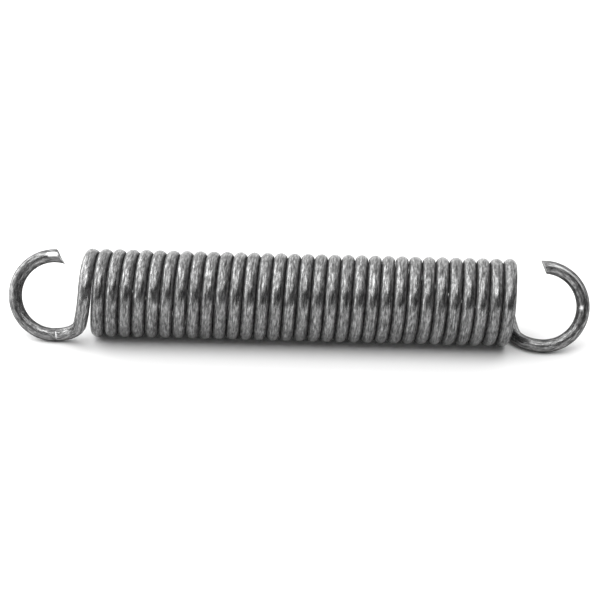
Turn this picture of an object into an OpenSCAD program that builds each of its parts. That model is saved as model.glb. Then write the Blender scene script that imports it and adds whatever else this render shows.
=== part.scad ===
// Extension spring: a close-wound left-hand coil of round wire with an open hook at each end.
// It lies along X as it comes to rest: the coil and the elbow of one hook touch the ground at z = 0.

/* [Wire] */
// Diameter of the wire
wire_d = 3.2; // [2:0.05:3.3]

/* [Coil] */
// Outside diameter of the coil
coil_d = 22; // [21:0.25:25]
// Whole turns of the coil, besides the half turn that brings both hooks to one side
whole_turns = 31; // [6:1:36]
// Clear space between one turn and the next
turn_gap = 0.16; // [0.12:0.01:0.8]

/* [Hooks] */
// Inside diameter of the eye that each hook bends around
eye_d = 16.5; // [16:0.1:18]
// Angle past the foot of the eye at which the elbow has turned the wire into it
elbow_angle = 0; // [-5:1:8]
// Length of the tangents of the neck that swings the wire out of the coil
neck_pull = 5.4; // [5:0.1:6.5]

/* [Left hook] */
// Distance along the coil from its left end strand to the centre of the eye
left_reach = 8.5; // [7.5:0.1:12]
// How far the centre of the eye lies below the axis of the coil
left_drop = 0.9; // [0:0.1:1.5]
// Angle past the top of the eye at which the wire is cut off
left_tip = 6; // [-20:1:15]
// Slant of the cut, positive where the outer edge of the wire is left longer
left_slant = -25; // [-30:1:30]

/* [Right hook] */
// Distance along the coil from its right end strand to the centre of the eye
right_reach = 7.9; // [7.5:0.1:12]
// How far the centre of the eye lies below the axis of the coil
right_drop = 0.7; // [0:0.1:1.5]
// Angle past the top of the eye at which the wire is cut off
right_tip = 0; // [-20:1:15]
// Slant of the cut, positive where the outer edge of the wire is left longer
right_slant = 24; // [-30:1:30]

/* [Hidden] */

mean_r = (coil_d - wire_d) / 2;
eye_r = (eye_d + wire_d) / 2;
pitch = wire_d + turn_gap;

// The coil is a chain of bends, four to a turn, and each runs on smoothly into the next
bends_per_turn = 4;
step = 360 / bends_per_turn;
bends = (whole_turns + 0.5) * bends_per_turn;
coil_length = bends * pitch / bends_per_turn;
lead = atan(pitch / (2 * bends_per_turn * mean_r * tan(step / 2)));

// Every other bend is a hair thicker and laps over the ends of its neighbours, which makes them one wire
lap_length = 0.12;
lap_d = wire_d + 0.04;

left_eye = eye_at(left_reach, left_drop);
right_eye = eye_at(right_reach, right_drop);
samples = 24;

// The spring rolls to where the first of its elbows touches the ground beside the coil, and nothing of it lies lower
necks = concat(neck_across(left_eye, 1), neck_across(right_eye, -1));
elbows = concat(elbow_across(left_eye, 1), elbow_across(right_eye, -1));
coil_r = norm(across(on_coil(0), along_coil(0), on_coil(1), 1)[samples / 2]);
rest_roll = max([for (m = elbows) touch_roll(m)]);
rest_height = lap_d / 2 + max(coil_r, max([for (m = concat(necks, elbows)) depth(m, rest_roll)]));
rest_shift = (left_reach - right_reach) / 2;

wire_sides = 24;
bend_sides = 48;
cut_size = 3 * wire_d;

function unit(v) = v / norm(v);

// Place and heading of the wire where a bend of the coil starts, counted from its left end
function coil_angle(i) = 90 + i * step;
function on_coil(i) = [
    i * pitch / bends_per_turn - coil_length / 2,
    -mean_r * sin(coil_angle(i)),
    -mean_r * cos(coil_angle(i))
];
function along_coil(i) = [
    sin(lead),
    -cos(lead) * cos(coil_angle(i)),
    cos(lead) * sin(coil_angle(i))
];

// Centre of an eye on the left end, and place and heading of the wire on it by the angle past its foot
function eye_at(reach, drop) = [-coil_length / 2 - reach, 0, -drop];
function on_eye(centre, a) = centre - eye_r * [sin(a), 0, cos(a)];
function along_eye(a) = [-cos(a), 0, sin(a)];

// The arc that leaves p along dir and ends at q
function bend_normal(p, dir, q) = unit(cross(dir, q - p));
function bend_angle(p, dir, q) = 2 * acos(unit(q - p) * dir);
function bend_r(p, dir, q) = norm(q - p) / (2 * sin(bend_angle(p, dir, q) / 2));
function bend_centre(p, dir, q) = p + bend_r(p, dir, q) * cross(bend_normal(p, dir, q), dir);
function on_bend(p, dir, q, a) =
    let (c = bend_centre(p, dir, q))
    c + (p - c) * cos(a) + dir * bend_r(p, dir, q) * sin(a);

// The elbow of the left hook: where the neck passes the wire on to it and where it ends, with both headings
function elbow(centre) =
    let (
        start = on_coil(0),
        start_dir = -along_coil(0),
        end = on_eye(centre, elbow_angle),
        end_dir = along_eye(elbow_angle),
        span = end - start,
        elbow_pull = (span * span / 2 - neck_pull * span * start_dir)
            / (span * end_dir + neck_pull * (1 - start_dir * end_dir)),
        neck_pole = start + neck_pull * start_dir,
        elbow_pole = end - elbow_pull * end_dir,
        middle = (neck_pole * elbow_pull + elbow_pole * neck_pull) / (neck_pull + elbow_pull)
    )
    [middle, unit(elbow_pole - neck_pole), end, end_dir];

// Places along a bend as seen down the coil's axis; side is -1 for the hook that is turned round
function across(p, dir, q, side) = [
    for (k = [0 : samples])
        let (m = on_bend(p, dir, q, bend_angle(p, dir, q) * k / samples))
        [side * m[1], m[2]]
];
function neck_across(centre, side) = across(on_coil(0), -along_coil(0), elbow(centre)[0], side);
function elbow_across(centre, side) =
    let (e = elbow(centre))
    across(e[0], e[1], e[2], side);

// Roll at which such a place touches the ground beside the coil, and how far it lies below the axis at a roll
function touch_roll(m) = norm(m) > coil_r ? atan2(m[0], -m[1]) + acos(coil_r / norm(m)) : 0;
function depth(m, roll) = m[0] * sin(roll) - m[1] * cos(roll);

// Wire bent along that arc, and lapped over its neighbours if it is a lapping bend
module bend(p, dir, q, laps) {
    r = bend_r(p, dir, q);
    c = bend_centre(p, dir, q);
    n = bend_normal(p, dir, q);
    out = unit(p - c);
    lap = laps ? lap_length / r * 180 / PI : 0;
    multmatrix([
        [out[0], dir[0], n[0], c[0]],
        [out[1], dir[1], n[1], c[1]],
        [out[2], dir[2], n[2], c[2]]
    ])
        rotate([0, 0, -lap])
            rotate_extrude(angle = bend_angle(p, dir, q) + 2 * lap, $fn = bend_sides)
                translate([r, 0])
                    circle(d = laps ? lap_d : wire_d, $fn = wire_sides);
}

module coil() {
    for (i = [0 : bends - 1])
        translate([i * pitch / bends_per_turn, 0, 0])
            rotate([-i * step, 0, 0])
                bend(on_coil(0), along_coil(0), on_coil(1), i % 2 == 0);
}

// The hook on the left end of the coil: a neck, an elbow that meets it smoothly, and an eye cut off at a slant
module hook(centre, tip, slant, laps_coil) {
    top = 180;
    spare = asin(wire_d / eye_r);
    e = elbow(centre);
    bend(on_coil(0), -along_coil(0), e[0], laps_coil);
    bend(e[0], e[1], e[2], !laps_coil);
    difference() {
        bend(e[2], e[3], on_eye(centre, top + tip + spare), laps_coil);
        translate(on_eye(centre, top + tip))
            rotate([0, tip + slant, 0])
                translate([0, -cut_size / 2, -cut_size / 2])
                    cube(cut_size);
    }
}

module spring() {
    color("dimgray")
        translate([rest_shift, 0, rest_height])
            rotate([-rest_roll, 0, 0]) {
                coil();
                hook(left_eye, left_tip, left_slant, false);
                rotate([0, 0, 180])
                    hook(right_eye, right_tip, right_slant, true);
            }
}

spring();
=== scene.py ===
"""Looks of an extension spring: one close-coiled steel wire with an open hook at each end.

It lies on a pale floor. Sizes are in millimetres and degrees, unless a comment says otherwise.
"""

import bpy
import numpy as np
from mathutils import Matrix, Vector

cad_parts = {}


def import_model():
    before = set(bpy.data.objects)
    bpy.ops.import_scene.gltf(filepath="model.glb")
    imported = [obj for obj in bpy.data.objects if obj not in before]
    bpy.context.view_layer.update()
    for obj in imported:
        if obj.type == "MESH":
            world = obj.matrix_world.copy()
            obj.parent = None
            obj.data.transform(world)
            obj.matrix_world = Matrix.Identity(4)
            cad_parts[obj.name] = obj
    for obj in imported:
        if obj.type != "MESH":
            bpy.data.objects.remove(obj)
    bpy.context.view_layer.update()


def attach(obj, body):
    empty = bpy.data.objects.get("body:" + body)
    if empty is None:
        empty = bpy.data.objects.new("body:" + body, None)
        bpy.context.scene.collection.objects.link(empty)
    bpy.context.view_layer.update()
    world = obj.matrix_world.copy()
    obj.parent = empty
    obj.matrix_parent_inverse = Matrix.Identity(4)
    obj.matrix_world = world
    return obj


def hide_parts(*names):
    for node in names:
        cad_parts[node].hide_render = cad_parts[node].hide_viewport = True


# Sizes of the wire, coil and hooks, as the solid has them
WIRE_D = 3.2
COIL_D = 22.0
TURNS = 31.5
TURN_GAP = 0.16
EYE_D = 16.5
NECK_PULL = 5.4
BENDS_PER_TURN = 4
LAP = 0.04

# The turns of the real wire press on each other, so its looks are a hair thicker than the solid
FULL_WIRE_D = 3.31

# Each hook: reach along the coil to the eye's centre, drop of that centre, angle of the cut past the top,
# its slant, and where a nick painted near white as a glint lies on it, by the angle past the foot of the eye
LEFT_HOOK = {"reach": 8.5, "drop": 0.9, "tip": 6.0, "slant": -25.0, "nick_glint": -4.3}
RIGHT_HOOK = {"reach": 7.9, "drop": 0.7, "tip": 0.0, "slant": 24.0, "nick_glint": 89.5}

MEAN_R = (COIL_D - WIRE_D) / 2
EYE_R = (EYE_D + WIRE_D) / 2
PITCH = WIRE_D + TURN_GAP
COIL_LENGTH = PITCH * TURNS

# How finely the path and the wire around it are divided, and the extra points that outline a nick
BEND_SPLITS = 18
NECK_SPLITS = 16
ELBOW_SPLITS = 44
EYE_POINTS = 64
WIRE_SIDES = 28
AROUND_NICK = np.array([-1.8, -0.9, -0.45, 0.0, 0.45, 0.9, 1.8])

# Uneven surface of the wire: its whole height, spots to the millimetre across, and the share of that along
RELIEF = 0.02
RELIEF_PER_MM = 0.9
RELIEF_ALONG = 0.3
SEED = 7

# The cut ends, in radians: the stretch that takes up the slant, and how far each side of the cut is reshaped
SLANTED = 0.3
BEFORE_CUT = 0.35
PAST_CUT = 0.1

# The flat that the cutter pressed into the left tip: its tilt, its height over the middle of the wire, where
# it starts and ends back from the cut, over what lengths it fades there, and how deep it is pressed before
# its bare steel is painted near white as a glint
NIP_TILT = 14.0
NIP_HEIGHT = 1.575
NIP_START = 3.0
NIP_END = 0.45
NIP_FADE_IN = 0.3
NIP_FADE_OUT = 0.2
GLINT_PRESS = 0.004

# The burr that the cutter tore on the inner edge of the left tip
BURR_LENGTH = 1.0

# Nicks, painted near white as glints of bare steel: half length along the wire, middle and half width across
# it towards the outside of the eye
LEFT_NICK_GLINT = (0.14, 0.1, 0.7)
RIGHT_NICK_GLINT = (0.6, -0.55, 0.4)

# Edge of a nick, in shares of those sizes: where it would fade out, where its painted glint is full, and
# where it ends
NICK_FADED = 1.5
NICK_FULL_GLINT = 0.5
NICK_RIM = 1.4

# The highlight painted near white along the right hook: angles past the foot where it starts and ends,
# radians over which it fades there, its middle across the wire, how far from that it is gone and full, and
# how strong it is painted
HIGHLIGHT_START = 100
HIGHLIGHT_END = 174
HIGHLIGHT_FADE = 0.3
HIGHLIGHT_MIDDLE = 0.75
HIGHLIGHT_GONE = 0.286
HIGHLIGHT_FULL = 0.066
HIGHLIGHT_SHARE = 0.6

# Painted shade in the grooves, by the distance from the middle of the wire's layer as a share of its radius:
# where it starts and is full, and how dark it is painted between two turns and on the outer flanks of the end
# turns
GROOVE_START = 0.8
GROOVE_FULL = 0.32
SHADE_BETWEEN = 0.9
SHADE_OUTSIDE = 0.45

# Painted shade on the edges of the hooks, as if they reflected a dark room, by how squarely the surface faces
# the flat side of the hook: where it starts and is full, and how dark it is painted
EDGE_START = 0.66
EDGE_FULL = 0.426
EDGE_SHADE = 0.9

# Patterns of the steel: spots to the millimetre across the wire, share of that along it, detail and roughness
# of the noise, and its shift along the wire. Drawing lines are about 0.03 mm wide and the grain of the scale
# about 0.1 mm, too fine to show where a millimetre is four pixels. They are drawn 0.4 mm wide, as coarse as
# they need to show, and the flecks where the wire has rubbed 0.3 mm wide
PATTERNS = {
    "lines": (2.6, 0.05, 4, 0.55, 0.0),
    "mottle": (2.5, 0.28, 5, 0.65, 13.0),
    "flecks": (3.2, 0.3, 3, 0.5, 41.0),
}

# Colours of the steel: its scale and drawing lines by their pattern, the painted shade, and bare steel
# painted near white as a glint
SCALE_COLOURS = ((0.34, "#484848"), (0.5, "#868686"), (0.66, "#c0c0c0"))
LINE_COLOURS = ((0.35, "#8a8a8a"), (0.65, "#f4f4f4"))
LINES_OVER_SCALE = 0.8
PAINTED_SHADE_COLOUR = "#1b1b1b"
BARE_GLINT_COLOUR = "#f4f4f4"

# Finish of clean steel, of steel polished in flecks, and of the painted shade, and how far the painted glint
# of bare steel dulls the metal
STEEL_METAL, PAINTED_SHADE_METAL = 0.85, 0.05
STEEL_ROUGH, POLISHED_ROUGH, PAINTED_SHADE_ROUGH = 0.26, 0.14, 0.85
STEEL_GLOSS, PAINTED_SHADE_GLOSS = 0.5, 0.1
BARE_GLINT_DULLS = 0.8

# Relief of the lines and the mottle in the shading, as shares of the bump and its depth
LINES_RELIEF = 0.8
MOTTLE_RELIEF = 0.36
BUMP_STRENGTH = 0.7
BUMP_DEPTH = 0.14

# Where the photograph was taken from
CAMERA_DISTANCE = 453.5
CAMERA_LENS = 108.84
CAMERA_SENSOR = 36
CAMERA_TILT = 1.43
PHOTO_CENTRE = (-0.125, -0.575)

# The room, by how squarely a ray points to the camera's up, front or left, or to a slant between up and left,
# from -1 to 1: which of them, where it starts and ends, and the share or the light there
UP_SLANT = 0.3
ROOM = {
    "over_floor": ("up", -0.38, -0.28, 0.0, 1.0),
    "under_lamp": ("slant", 0.29, 0.22, 0.0, 1.0),
    "ahead": ("front", -0.1, 0.2, 0.0, 1.0),
    "darkening": ("left", -0.1, 0.6, -0.72, -0.288),
    "air": ("left", -0.6, 0.2, 0.1, 0.6),
    "left_wall": ("left", 0.72, 0.88, 0.0, 2.9),
    "behind": ("front", 0.32, 0.1, 0.0, 1.0),
    "back_wall": ("up", 0.1, 0.5, 0.0, 1.1),
    "low_glow": ("up", -0.38, -0.28, 0.8, 0.0),
}

# Half the floor's width, in metres
FLOOR_HALF = 3.0

# Place of the mixed colour among the outputs of a Mix node
MIXED_COLOUR = 2


def colour(code):
    """An sRGB hex code as the linear colour that nodes and lamps take."""
    parts = [int(code[i:i + 2], 16) / 255 for i in (1, 3, 5)]
    return [c / 12.92 if c <= 0.04045 else ((c + 0.055) / 1.055) ** 2.4 for c in parts] + [1.0]


def unit(v):
    return v / np.linalg.norm(v)


def rise(value, start, end):
    """Share that goes from 0 at the start to 1 at the end, and stays so beyond them."""
    return np.clip((value - start) / (end - start), 0, 1)


def on_coil(turn):
    """Centre of the wire after so many turns from the left end of the coil."""
    a = 2 * np.pi * turn + np.pi / 2
    return np.array([turn * PITCH - COIL_LENGTH / 2, -MEAN_R * np.sin(a), -MEAN_R * np.cos(a)])


def along_coil(turn):
    """Heading of the wire there."""
    a = 2 * np.pi * turn + np.pi / 2
    slope = PITCH / (2 * BENDS_PER_TURN * MEAN_R * np.tan(np.pi / BENDS_PER_TURN))
    lead = np.arctan(slope)
    return np.array([np.sin(lead), -np.cos(lead) * np.cos(a), np.cos(lead) * np.sin(a)])


def bend(p, heading, q, splits):
    """Points on the arc that leaves p along its heading and ends at q."""
    chord = q - p
    turn = 2 * np.arccos(unit(chord) @ heading)
    r = np.linalg.norm(chord) / (2 * np.sin(turn / 2))
    centre = p + r * np.cross(unit(np.cross(heading, chord)), heading)
    a = np.linspace(0, turn, splits + 1)[:, None]
    return centre + (p - centre) * np.cos(a) + heading * r * np.sin(a)


def hook(reach, drop, tip, slant, nick_glint):
    """Points of the left hook from the coil outwards: neck, elbow and eye. Its slant is cut later."""
    centre = np.array([-COIL_LENGTH / 2 - reach, 0, -drop])
    start, start_dir = on_coil(0), -along_coil(0)
    foot, foot_dir = centre - [0, 0, EYE_R], np.array([-1.0, 0, 0])
    span = foot - start
    elbow_pull = (span @ span / 2 - NECK_PULL * (span @ start_dir)) / (
        span @ foot_dir + NECK_PULL * (1 - start_dir @ foot_dir))
    neck_pole = start + NECK_PULL * start_dir
    elbow_pole = foot - elbow_pull * foot_dir
    middle = (neck_pole * elbow_pull + elbow_pole * NECK_PULL) / (NECK_PULL + elbow_pull)
    outline = nick_glint + AROUND_NICK
    outline_on_eye = outline[outline > 1]
    a = np.radians(np.union1d(np.linspace(0, 180 + tip, EYE_POINTS), outline_on_eye))[:, None]
    eye = centre - EYE_R * np.hstack([np.sin(a), 0 * a, np.cos(a)])
    neck = bend(start, start_dir, middle, NECK_SPLITS)
    elbow = bend(middle, unit(elbow_pole - neck_pole), foot, ELBOW_SPLITS)
    return np.vstack([neck[1:], elbow[1:], eye[1:]])


def wire_path():
    """Points along the whole wire from the left tip to the right tip, before it is laid down."""
    left = hook(**LEFT_HOOK)[::-1]
    right = hook(**RIGHT_HOOK) * [-1, -1, 1]
    coil = [on_coil(0)[None]]
    for i in range(int(TURNS * BENDS_PER_TURN)):
        t = i / BENDS_PER_TURN
        coil.append(bend(on_coil(t), along_coil(t), on_coil(t + 1 / BENDS_PER_TURN), BEND_SPLITS)[1:])
    return np.vstack([left] + coil + [right])


def rest_frame():
    """Roll of the spring at rest and where the coil's centre then lies."""
    first_bend = bend(on_coil(0), along_coil(0), on_coil(1 / BENDS_PER_TURN), BEND_SPLITS)
    coil_r = max(np.linalg.norm(first_bend[:, 1:], axis=1))
    bent = slice(NECK_SPLITS + ELBOW_SPLITS)
    hooks = [hook(**LEFT_HOOK)[bent], hook(**RIGHT_HOOK)[bent] * [1, -1, 1]]
    roll = 0.0
    for points in hooks:
        y, z = points[NECK_SPLITS - 1:, 1], points[NECK_SPLITS - 1:, 2]
        out = np.hypot(y, z)
        touch = np.arctan2(y, -z) + np.arccos(np.minimum(1, coil_r / out))
        roll = max([roll] + list(touch[out > coil_r]))
    depth = max((points[:, 1:] @ [np.sin(roll), -np.cos(roll)]).max() for points in hooks)
    height = max(coil_r, depth) + (WIRE_D + LAP) / 2
    return roll, np.array([(LEFT_HOOK["reach"] - RIGHT_HOOK["reach"]) / 2, 0, height])


def lay_down(piece, roll, centre):
    """Rolls the piece about the coil's axis and sets it on the ground, in its mesh."""
    turn = Matrix.Rotation(-roll, 4, "X")
    piece.data.transform(Matrix.Translation(Vector(centre) / 1000) @ turn)


def socket(sockets, name):
    """The socket in use that has this name or number."""
    if isinstance(name, int):
        return sockets[name]
    return next(s for s in sockets if s.name == name and s.enabled)


def add_node(tree, kind, inputs=None, stops=(), **settings):
    """Adds a node with these settings, links or fills its inputs, and sets the stops of its colour ramp."""
    node = tree.nodes.new(kind)
    for name, value in settings.items():
        setattr(node, name, value)
    for name, value in (inputs or {}).items():
        target = socket(node.inputs, name)
        if isinstance(value, bpy.types.NodeSocket):
            tree.links.new(value, target)
        else:
            target.default_value = value
    for i, (place, code) in enumerate(stops):
        points = node.color_ramp.elements
        point = points[i] if i < len(points) else points.new(place)
        point.position = place
        point.color = colour(code)
    return node


def steel_material():
    """Hard-drawn spring steel, left as it came from the die and the coiling.

    Its dull dark scale looks mottled, the drawing lines stretch every highlight along the wire, and flecks
    where the turns and hooks have rubbed shine brighter. Shade is painted into the grooves and onto the edges
    of the hooks, and glints are painted near white on bare steel.
    """
    material = bpy.data.materials.new("spring_steel")
    material.use_nodes = True
    tree = material.node_tree
    tree.nodes.clear()
    place = add_node(tree, "ShaderNodeAttribute", attribute_name="wire_place").outputs["Vector"]
    shade_attribute = add_node(tree, "ShaderNodeAttribute", attribute_name="painted_shade").outputs["Fac"]
    bare_glint = add_node(tree, "ShaderNodeAttribute", attribute_name="bare_glint").outputs["Fac"]

    pattern = {}
    for name, (per_mm, along, detail, rough, shift) in PATTERNS.items():
        stretched = add_node(tree, "ShaderNodeMapping", {
            "Vector": place, "Scale": (1, 1, along), "Location": (0, 0, shift)}).outputs[0]
        pattern[name] = add_node(tree, "ShaderNodeTexNoise", {
            "Vector": stretched, "Scale": per_mm, "Detail": detail, "Roughness": rough}).outputs[0]

    # The painted shade is a little lighter where the scale is light
    thinned = add_node(tree, "ShaderNodeMapRange", {
        "Value": pattern["mottle"], "From Min": 0.38, "From Max": 0.62,
        "To Min": 1.0, "To Max": 0.68}).outputs[0]
    painted_shading = add_node(tree, "ShaderNodeMath", {0: shade_attribute, 1: thinned}, operation="MULTIPLY").outputs[0]

    # Colour: lines over the scale, then the painted shade over both, and the painted glint of bare steel over
    # all
    scale = add_node(tree, "ShaderNodeValToRGB", {0: pattern["mottle"]}, SCALE_COLOURS).outputs[0]
    streaks = add_node(tree, "ShaderNodeValToRGB", {0: pattern["lines"]}, LINE_COLOURS).outputs[0]
    base = scale
    for share, over, blend in (
        (LINES_OVER_SCALE, streaks, "MULTIPLY"),
        (painted_shading, colour(PAINTED_SHADE_COLOUR), "MIX"),
        (bare_glint, colour(BARE_GLINT_COLOUR), "MIX"),
    ):
        mixed = add_node(tree, "ShaderNodeMix", {"Factor": share, "A": base, "B": over},
                         data_type="RGBA", blend_type=blend)
        base = mixed.outputs[MIXED_COLOUR]

    # Finish: flecks are polished, the painted shade is rough and hides the metal, and the painted glint of
    # bare steel hides it partly
    polish = add_node(tree, "ShaderNodeMapRange", {
        "Value": pattern["flecks"], "From Min": 0.52, "From Max": 0.66,
        "To Min": STEEL_ROUGH, "To Max": POLISHED_ROUGH}).outputs[0]
    roughness = add_node(tree, "ShaderNodeMapRange", {
        "Value": painted_shading, "To Min": polish, "To Max": PAINTED_SHADE_ROUGH}).outputs[0]
    glint_dulling = add_node(tree, "ShaderNodeMath", {0: bare_glint, 1: BARE_GLINT_DULLS}, operation="MULTIPLY").outputs[0]
    dull = add_node(tree, "ShaderNodeMath", {0: painted_shading, 1: glint_dulling}, operation="MAXIMUM").outputs[0]
    metal = add_node(tree, "ShaderNodeMapRange", {
        "Value": dull, "To Min": STEEL_METAL, "To Max": PAINTED_SHADE_METAL}).outputs[0]
    gloss = add_node(tree, "ShaderNodeMapRange", {
        "Value": painted_shading, "To Min": STEEL_GLOSS, "To Max": PAINTED_SHADE_GLOSS}).outputs[0]

    relief = 0.0
    for name, share in (("mottle", MOTTLE_RELIEF), ("lines", LINES_RELIEF)):
        relief = add_node(tree, "ShaderNodeMath", {0: pattern[name], 1: share, 2: relief},
                          operation="MULTIPLY_ADD").outputs[0]
    bump = add_node(tree, "ShaderNodeBump", {
        "Height": relief, "Strength": BUMP_STRENGTH, "Distance": BUMP_DEPTH / 1000}).outputs[0]
    shader = add_node(tree, "ShaderNodeBsdfPrincipled", {
        "Base Color": base, "Metallic": metal, "Roughness": roughness, "Specular IOR Level": gloss,
        "Normal": bump}).outputs[0]
    add_node(tree, "ShaderNodeOutputMaterial", {"Surface": shader})
    return material


def wire_tree(material):
    """Node tree that turns a path into round wire with a faint drawn and scaled relief."""
    tree = bpy.data.node_groups.new("wire_on_path", "GeometryNodeTree")
    face = tree.interface
    face.new_socket(name="Geometry", in_out="INPUT", socket_type="NodeSocketGeometry")
    for name, kind, value in (
        ("Wire Diameter", "NodeSocketFloat", FULL_WIRE_D / 1000),
        ("Sides", "NodeSocketInt", WIRE_SIDES),
        ("Relief", "NodeSocketFloat", RELIEF / 1000),
        ("Seed", "NodeSocketFloat", SEED),
    ):
        face.new_socket(name=name, in_out="INPUT", socket_type=kind).default_value = value
    face.new_socket(name="Geometry", in_out="OUTPUT", socket_type="NodeSocketGeometry")
    given = add_node(tree, "NodeGroupInput").outputs

    # The path and the ring that is swept along it each carry a place on them
    radius = add_node(tree, "ShaderNodeMath", {0: given["Wire Diameter"], 1: 2.0},
                      operation="DIVIDE").outputs[0]
    path = add_node(tree, "GeometryNodeMeshToCurve", {"Mesh": given["Geometry"]}).outputs[0]
    ring = add_node(tree, "GeometryNodeCurvePrimitiveCircle", {
        "Resolution": given["Sides"], "Radius": radius}).outputs[0]
    parameter = add_node(tree, "GeometryNodeSplineParameter").outputs
    marked = []
    for name, curve, value in (("Along", path, parameter["Length"]), ("Around", ring, parameter["Factor"])):
        capture = add_node(tree, "GeometryNodeCaptureAttribute", {"Geometry": curve})
        capture.capture_items.new("FLOAT", name)
        tree.links.new(value, capture.inputs[1])
        marked.append(capture.outputs)
    along, around = marked
    tube = add_node(tree, "GeometryNodeCurveToMesh", {
        "Curve": along[0], "Profile Curve": around[0], "Fill Caps": True}).outputs[0]

    # Place on the wire for its patterns, in millimetres: across it twice, and along it
    angle = add_node(tree, "ShaderNodeMath", {0: around[1], 1: 2 * np.pi}, operation="MULTIPLY").outputs[0]
    across = []
    for operation in ("COSINE", "SINE"):
        share = add_node(tree, "ShaderNodeMath", {0: angle}, operation=operation).outputs[0]
        reach = add_node(tree, "ShaderNodeMath", {0: share, 1: radius}, operation="MULTIPLY").outputs[0]
        across.append(reach)
    metres = add_node(tree, "ShaderNodeCombineXYZ", {0: across[0], 1: across[1], 2: along[1]}).outputs[0]
    place = add_node(tree, "ShaderNodeVectorMath", {0: metres, "Scale": 1000.0}, operation="SCALE").outputs[0]
    placed = add_node(tree, "GeometryNodeStoreNamedAttribute", {
        "Geometry": tube, "Name": "wire_place", "Value": place},
        data_type="FLOAT_VECTOR", domain="POINT").outputs[0]

    # The surface is pushed in and out along its normals
    stretched = add_node(tree, "ShaderNodeVectorMath", {0: place, 1: (1.0, 1.0, RELIEF_ALONG)},
                         operation="MULTIPLY").outputs[0]
    rough = add_node(tree, "ShaderNodeTexNoise", {
        "Vector": stretched, "W": given["Seed"], "Scale": RELIEF_PER_MM, "Detail": 2.0},
        noise_dimensions="4D").outputs[0]
    around_middle = add_node(tree, "ShaderNodeMath", {0: rough, 1: 0.5}, operation="SUBTRACT").outputs[0]
    push = add_node(tree, "ShaderNodeMath", {0: around_middle, 1: given["Relief"]},
                    operation="MULTIPLY").outputs[0]
    normal = add_node(tree, "GeometryNodeInputNormal").outputs[0]
    offset = add_node(tree, "ShaderNodeVectorMath", {0: normal, "Scale": push}, operation="SCALE").outputs[0]
    moved = add_node(tree, "GeometryNodeSetPosition", {"Geometry": placed, "Offset": offset}).outputs[0]

    smooth = add_node(tree, "GeometryNodeSetShadeSmooth", {"Geometry": moved}).outputs[0]
    whole = add_node(tree, "GeometryNodeRealizeInstances", {"Geometry": smooth}).outputs[0]
    dressed = add_node(tree, "GeometryNodeSetMaterial", {"Geometry": whole, "Material": material}).outputs[0]
    add_node(tree, "NodeGroupOutput", {0: dressed})
    return tree


def plain_mesh(source, name):
    """What a piece's modifiers make of it, as a plain mesh object at the origin."""
    bpy.context.view_layer.update()
    evaluated = source.evaluated_get(bpy.context.evaluated_depsgraph_get())
    mesh = bpy.data.meshes.new_from_object(evaluated)
    piece = bpy.data.objects.new(name, mesh)
    bpy.context.scene.collection.objects.link(piece)
    bpy.data.objects.remove(source)
    return piece


def wire_piece(points, material):
    """The whole wire as one mesh, built along its path."""
    path = bpy.data.meshes.new("wire_path")
    path.from_pydata([tuple(p) for p in points], [(i, i + 1) for i in range(len(points) - 1)], [])
    source = bpy.data.objects.new("wire_path", path)
    bpy.context.scene.collection.objects.link(source)
    modifier = source.modifiers.new("wire_on_path", "NODES")
    modifier.node_group = wire_tree(material)
    sizes = {"Wire Diameter": FULL_WIRE_D / 1000, "Sides": WIRE_SIDES}
    for item in modifier.node_group.interface.items_tree:
        if item.in_out == "INPUT" and item.name in sizes:
            modifier[item.identifier] = sizes[item.name]
    return plain_mesh(source, "spring_wire")


def points_of(mesh):
    """The mesh's points in millimetres."""
    co = np.empty(len(mesh.vertices) * 3)
    mesh.vertices.foreach_get("co", co)
    return co.reshape(-1, 3) * 1000


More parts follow.
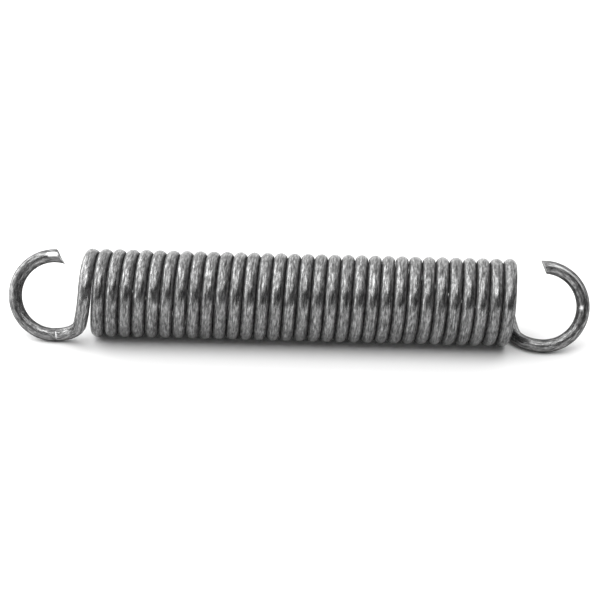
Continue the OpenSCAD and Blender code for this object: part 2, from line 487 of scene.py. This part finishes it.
def shape_tips(mesh):
    """Slants both cut ends, gives the left one the cutter's flat and burr, and marks bare steel painted as a
    glint.

    Bare steel is painted near white on the flat and in the nicks, and a painted highlight runs along the
    right hook.
    """
    co = points_of(mesh)
    bare_glint = np.zeros(len(co))
    for size, nick_glint, side in ((LEFT_HOOK, LEFT_NICK_GLINT, 1), (RIGHT_HOOK, RIGHT_NICK_GLINT, -1)):
        # Place of each point around the eye: angle past its foot, and distance out from the wire's middle
        centre = np.array([-COIL_LENGTH / 2 - size["reach"], 0, -size["drop"]])
        local = co * [side, side, 1] - centre
        angle = np.arctan2(-local[:, 0], -local[:, 2])
        angle = np.where(angle < -1.5, angle + 2 * np.pi, angle)
        out = np.hypot(local[:, 0], local[:, 2]) - EYE_R
        on_eye = np.abs(out) < WIRE_D
        tip = np.radians(180 + size["tip"])
        near = on_eye & (np.abs(local[:, 1]) < WIRE_D) & (angle > tip - BEFORE_CUT) & (angle < tip + PAST_CUT)
        share = rise(angle, tip - SLANTED, tip)
        turned = angle + share * out * np.tan(np.radians(size["slant"])) / EYE_R
        if side == 1:
            nip = np.radians(NIP_TILT)
            reach = (out * np.sin(nip) - local[:, 1] * np.cos(nip)) - NIP_HEIGHT
            from_tip = (tip - angle) * EYE_R
            started = rise(from_tip, NIP_START, NIP_START - NIP_FADE_IN)
            ended = rise(from_tip, NIP_END, NIP_END + NIP_FADE_OUT)
            press = np.where(near, np.clip(reach, 0, None) * started * ended, 0)
            out = out - press * np.sin(nip)
            local[:, 1] += press * np.cos(nip)
            # Where the flat is pressed, its bare steel is painted near white as a glint
            bare_glint = np.where(press > GLINT_PRESS, 1.0, bare_glint)
            turned += rise(-out, WIRE_D / 4, WIRE_D / 2) * share ** 3 * BURR_LENGTH / EYE_R

        in_front = (np.abs(side * local[:, 1] + WIRE_D / 2) < WIRE_D / 2) & (np.abs(out) < WIRE_D)
        # Each nick is bare steel painted near white as a glint
        length, middle, width = nick_glint
        off = np.hypot((angle - np.radians(size["nick_glint"])) * EYE_R / length, (out - middle) / width)
        with_nick_glint = np.maximum(bare_glint, rise(off, NICK_FADED, NICK_FULL_GLINT))
        bare_glint = np.where(in_front & (off < NICK_RIM), with_nick_glint, bare_glint)
        if side == -1:
            # A highlight is painted near white along the outer side of the right hook
            start, end = np.radians([HIGHLIGHT_START, HIGHLIGHT_END])
            ends = np.minimum(rise(angle, start, start + HIGHLIGHT_FADE), rise(angle, end, end - HIGHLIGHT_FADE))
            painted_highlight = ends * rise(np.abs(out - HIGHLIGHT_MIDDLE), HIGHLIGHT_GONE, HIGHLIGHT_FULL) * HIGHLIGHT_SHARE
            bare_glint = np.where(in_front, np.maximum(bare_glint, painted_highlight), bare_glint)

        r = out + EYE_R
        shaped = np.stack([-r * np.sin(turned), local[:, 1], -r * np.cos(turned)], -1) + centre
        co = np.where(near[:, None], shaped * [side, side, 1], co)
    mesh.vertices.foreach_set("co", (co / 1000).ravel())
    # Marks the steel painted near white: glints on the flat and in the nicks, and the highlight along the
    # right hook
    mesh.attributes.new("bare_glint", "FLOAT", "POINT").data.foreach_set("value", bare_glint)
    mesh.update()


def mark_painted_shade(mesh):
    """Marks the shade painted between the turns, and the shade painted on the edges of the hooks."""
    co = points_of(mesh)
    out = np.abs(np.hypot(co[:, 1], co[:, 2]) - MEAN_R) / (FULL_WIRE_D / 2)
    in_coil = np.abs(co[:, 0]) < COIL_LENGTH / 2 + WIRE_D / 3

    # Along the coil the first and the last strand pass each side at these places
    turn = (np.arctan2(-co[:, 1], -co[:, 2]) / (2 * np.pi) - 0.25) % 1
    first = turn * PITCH - COIL_LENGTH / 2
    last = COIL_LENGTH / 2 - (TURNS - turn) % 1 * PITCH
    inside = (co[:, 0] > first) & (co[:, 0] < last)
    # Painted shade: darkest where the wire faces its neighbouring turn, lighter on the outer flanks of the
    # end turns
    groove_shade = rise(out, GROOVE_START, GROOVE_FULL) * np.where(inside, SHADE_BETWEEN, SHADE_OUTSIDE)

    # On each ring of points around the wire, how squarely it faces the flat side of the hook
    normals = np.empty(len(mesh.vertices) * 3)
    mesh.vertex_normals.foreach_get("vector", normals)
    flat = np.abs(normals[1::3]).reshape(-1, WIRE_SIDES)
    flat = (flat / flat.max(axis=1, keepdims=True)).ravel()
    # Painted shade on the edges of the hooks
    hook_edge_shade = rise(flat, EDGE_START, EDGE_FULL) * EDGE_SHADE
    # One mark of painted shade: the grooves along the coil, and the edges on the hooks
    painted_shade = np.where(in_coil, groove_shade, hook_edge_shade)
    mesh.attributes.new("painted_shade", "FLOAT", "POINT").data.foreach_set("value", painted_shade)


def floor():
    """A plain pale floor of matt paper, which keeps the spring's shadow."""
    mesh = bpy.data.meshes.new("floor")
    s = FLOOR_HALF
    mesh.from_pydata([(-s, -s, 0), (s, -s, 0), (s, s, 0), (-s, s, 0)], [], [(0, 1, 2, 3)])
    plane = bpy.data.objects.new("floor", mesh)
    bpy.context.scene.collection.objects.link(plane)
    material = bpy.data.materials.new("pale_floor")
    material.use_nodes = True
    shader = material.node_tree.nodes["Principled BSDF"]
    shader.inputs["Base Color"].default_value = colour("#e9e9e9")
    shader.inputs["Roughness"].default_value = 0.9
    mesh.materials.append(material)


def soft_lamp(name, azimuth, elevation, distance, size, radiance, target, spin=0):
    """A rectangular lamp seen from the spring in that direction; azimuth 0 is the front, 90 the right.

    The distance and size are in metres. The spin turns it about its own axis, which slants the edge of its
    reflection.
    """
    a, e = np.radians(azimuth), np.radians(elevation)
    out = Vector((np.sin(a) * np.cos(e), -np.cos(a) * np.cos(e), np.sin(e)))
    data = bpy.data.lights.new(name, "AREA")
    data.shape = "RECTANGLE"
    data.size, data.size_y = size
    data.energy = radiance * np.pi * size[0] * size[1]
    lamp = bpy.data.objects.new(name, data)
    turn = out.to_track_quat("Z", "Y").to_matrix().to_4x4() @ Matrix.Rotation(np.radians(spin), 4, "Z")
    lamp.matrix_world = Matrix.Translation(target + out * distance) @ turn
    bpy.context.scene.collection.objects.link(lamp)


def world(roll):
    """Pale studio air, with a light wall to the left, another behind, and the dark of the room ahead.

    The dark lies between the floor and the top lamp, and is palest to the left.
    """
    studio = bpy.data.worlds.new("studio")
    bpy.context.scene.world = studio
    studio.use_nodes = True
    tree = studio.node_tree
    tree.nodes.clear()
    direction = add_node(tree, "ShaderNodeTexCoord").outputs["Generated"]
    facing = {}
    for name, towards in (
        ("up", (0, np.sin(roll), np.cos(roll))),
        ("front", (0, -np.cos(roll), np.sin(roll))),
        ("left", (-1, 0, 0)),
        ("slant", (-UP_SLANT, np.sin(roll), np.cos(roll))),
    ):
        dot = add_node(tree, "ShaderNodeVectorMath", {0: direction, 1: towards}, operation="DOT_PRODUCT")
        facing[name] = dot.outputs["Value"]
    room = {}
    for name, (way, start, end, first, last) in ROOM.items():
        room[name] = add_node(tree, "ShaderNodeMapRange", {
            "Value": facing[way], "From Min": start, "From Max": end,
            "To Min": first, "To Max": last}).outputs[0]

    # The air, darkened ahead, and then the light of each wall and of the low glow added to it
    darkening = room["darkening"]
    for share in (room["over_floor"], room["under_lamp"], room["ahead"]):
        darkening = add_node(tree, "ShaderNodeMath", {0: darkening, 1: share},
                             operation="MULTIPLY").outputs[0]
    left_over = add_node(tree, "ShaderNodeMath", {0: 1.0, 1: darkening}, operation="ADD").outputs[0]
    light = room["left_wall"]
    for share, part in (
        (left_over, room["air"]),
        (room["behind"], room["back_wall"]),
        (room["ahead"], room["low_glow"]),
    ):
        light = add_node(tree, "ShaderNodeMath", {0: share, 1: part, 2: light},
                         operation="MULTIPLY_ADD").outputs[0]
    background = add_node(tree, "ShaderNodeBackground", {"Color": light, "Strength": 1.0}).outputs[0]
    add_node(tree, "ShaderNodeOutputWorld", {"Surface": background})


def camera(roll, centre):
    """The photograph's camera, square to the plane of the hooks."""
    out = Vector((0, -np.cos(roll), np.sin(roll)))
    up = Vector((0, np.sin(roll), np.cos(roll)))
    tilt = np.radians(CAMERA_TILT)
    right = Vector((1, 0, 0)) * np.cos(tilt) + up * np.sin(tilt)
    top = up * np.cos(tilt) - Vector((1, 0, 0)) * np.sin(tilt)
    middle = Vector(centre) + right * PHOTO_CENTRE[0] + top * PHOTO_CENTRE[1]
    data = bpy.data.cameras.new("camera")
    data.lens = CAMERA_LENS
    data.sensor_width = CAMERA_SENSOR
    data.clip_start = 0.01
    eye = bpy.data.objects.new("camera", data)
    place = Matrix((right, top, out)).transposed().to_4x4()
    place.translation = (middle + out * CAMERA_DISTANCE) / 1000
    eye.matrix_world = place
    bpy.context.scene.collection.objects.link(eye)
    bpy.context.scene.camera = eye


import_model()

roll, centre = rest_frame()
wire = wire_piece(wire_path() / 1000, steel_material())
shape_tips(wire.data)
mark_painted_shade(wire.data)
lay_down(wire, roll, centre)
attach(wire, "root")
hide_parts("spring")

floor()
world(roll)
target = Vector(centre) / 1000
soft_lamp("top_lamp", azimuth=-12, elevation=73, distance=0.9, size=(1.15, 0.9), radiance=2.75,
          target=target, spin=14)
soft_lamp("back_left_lamp", azimuth=-125, elevation=30, distance=0.9, size=(0.6, 0.7), radiance=2.4,
          target=target)
camera(roll, centre)
bpy.context.scene.view_settings.view_transform = "Standard"
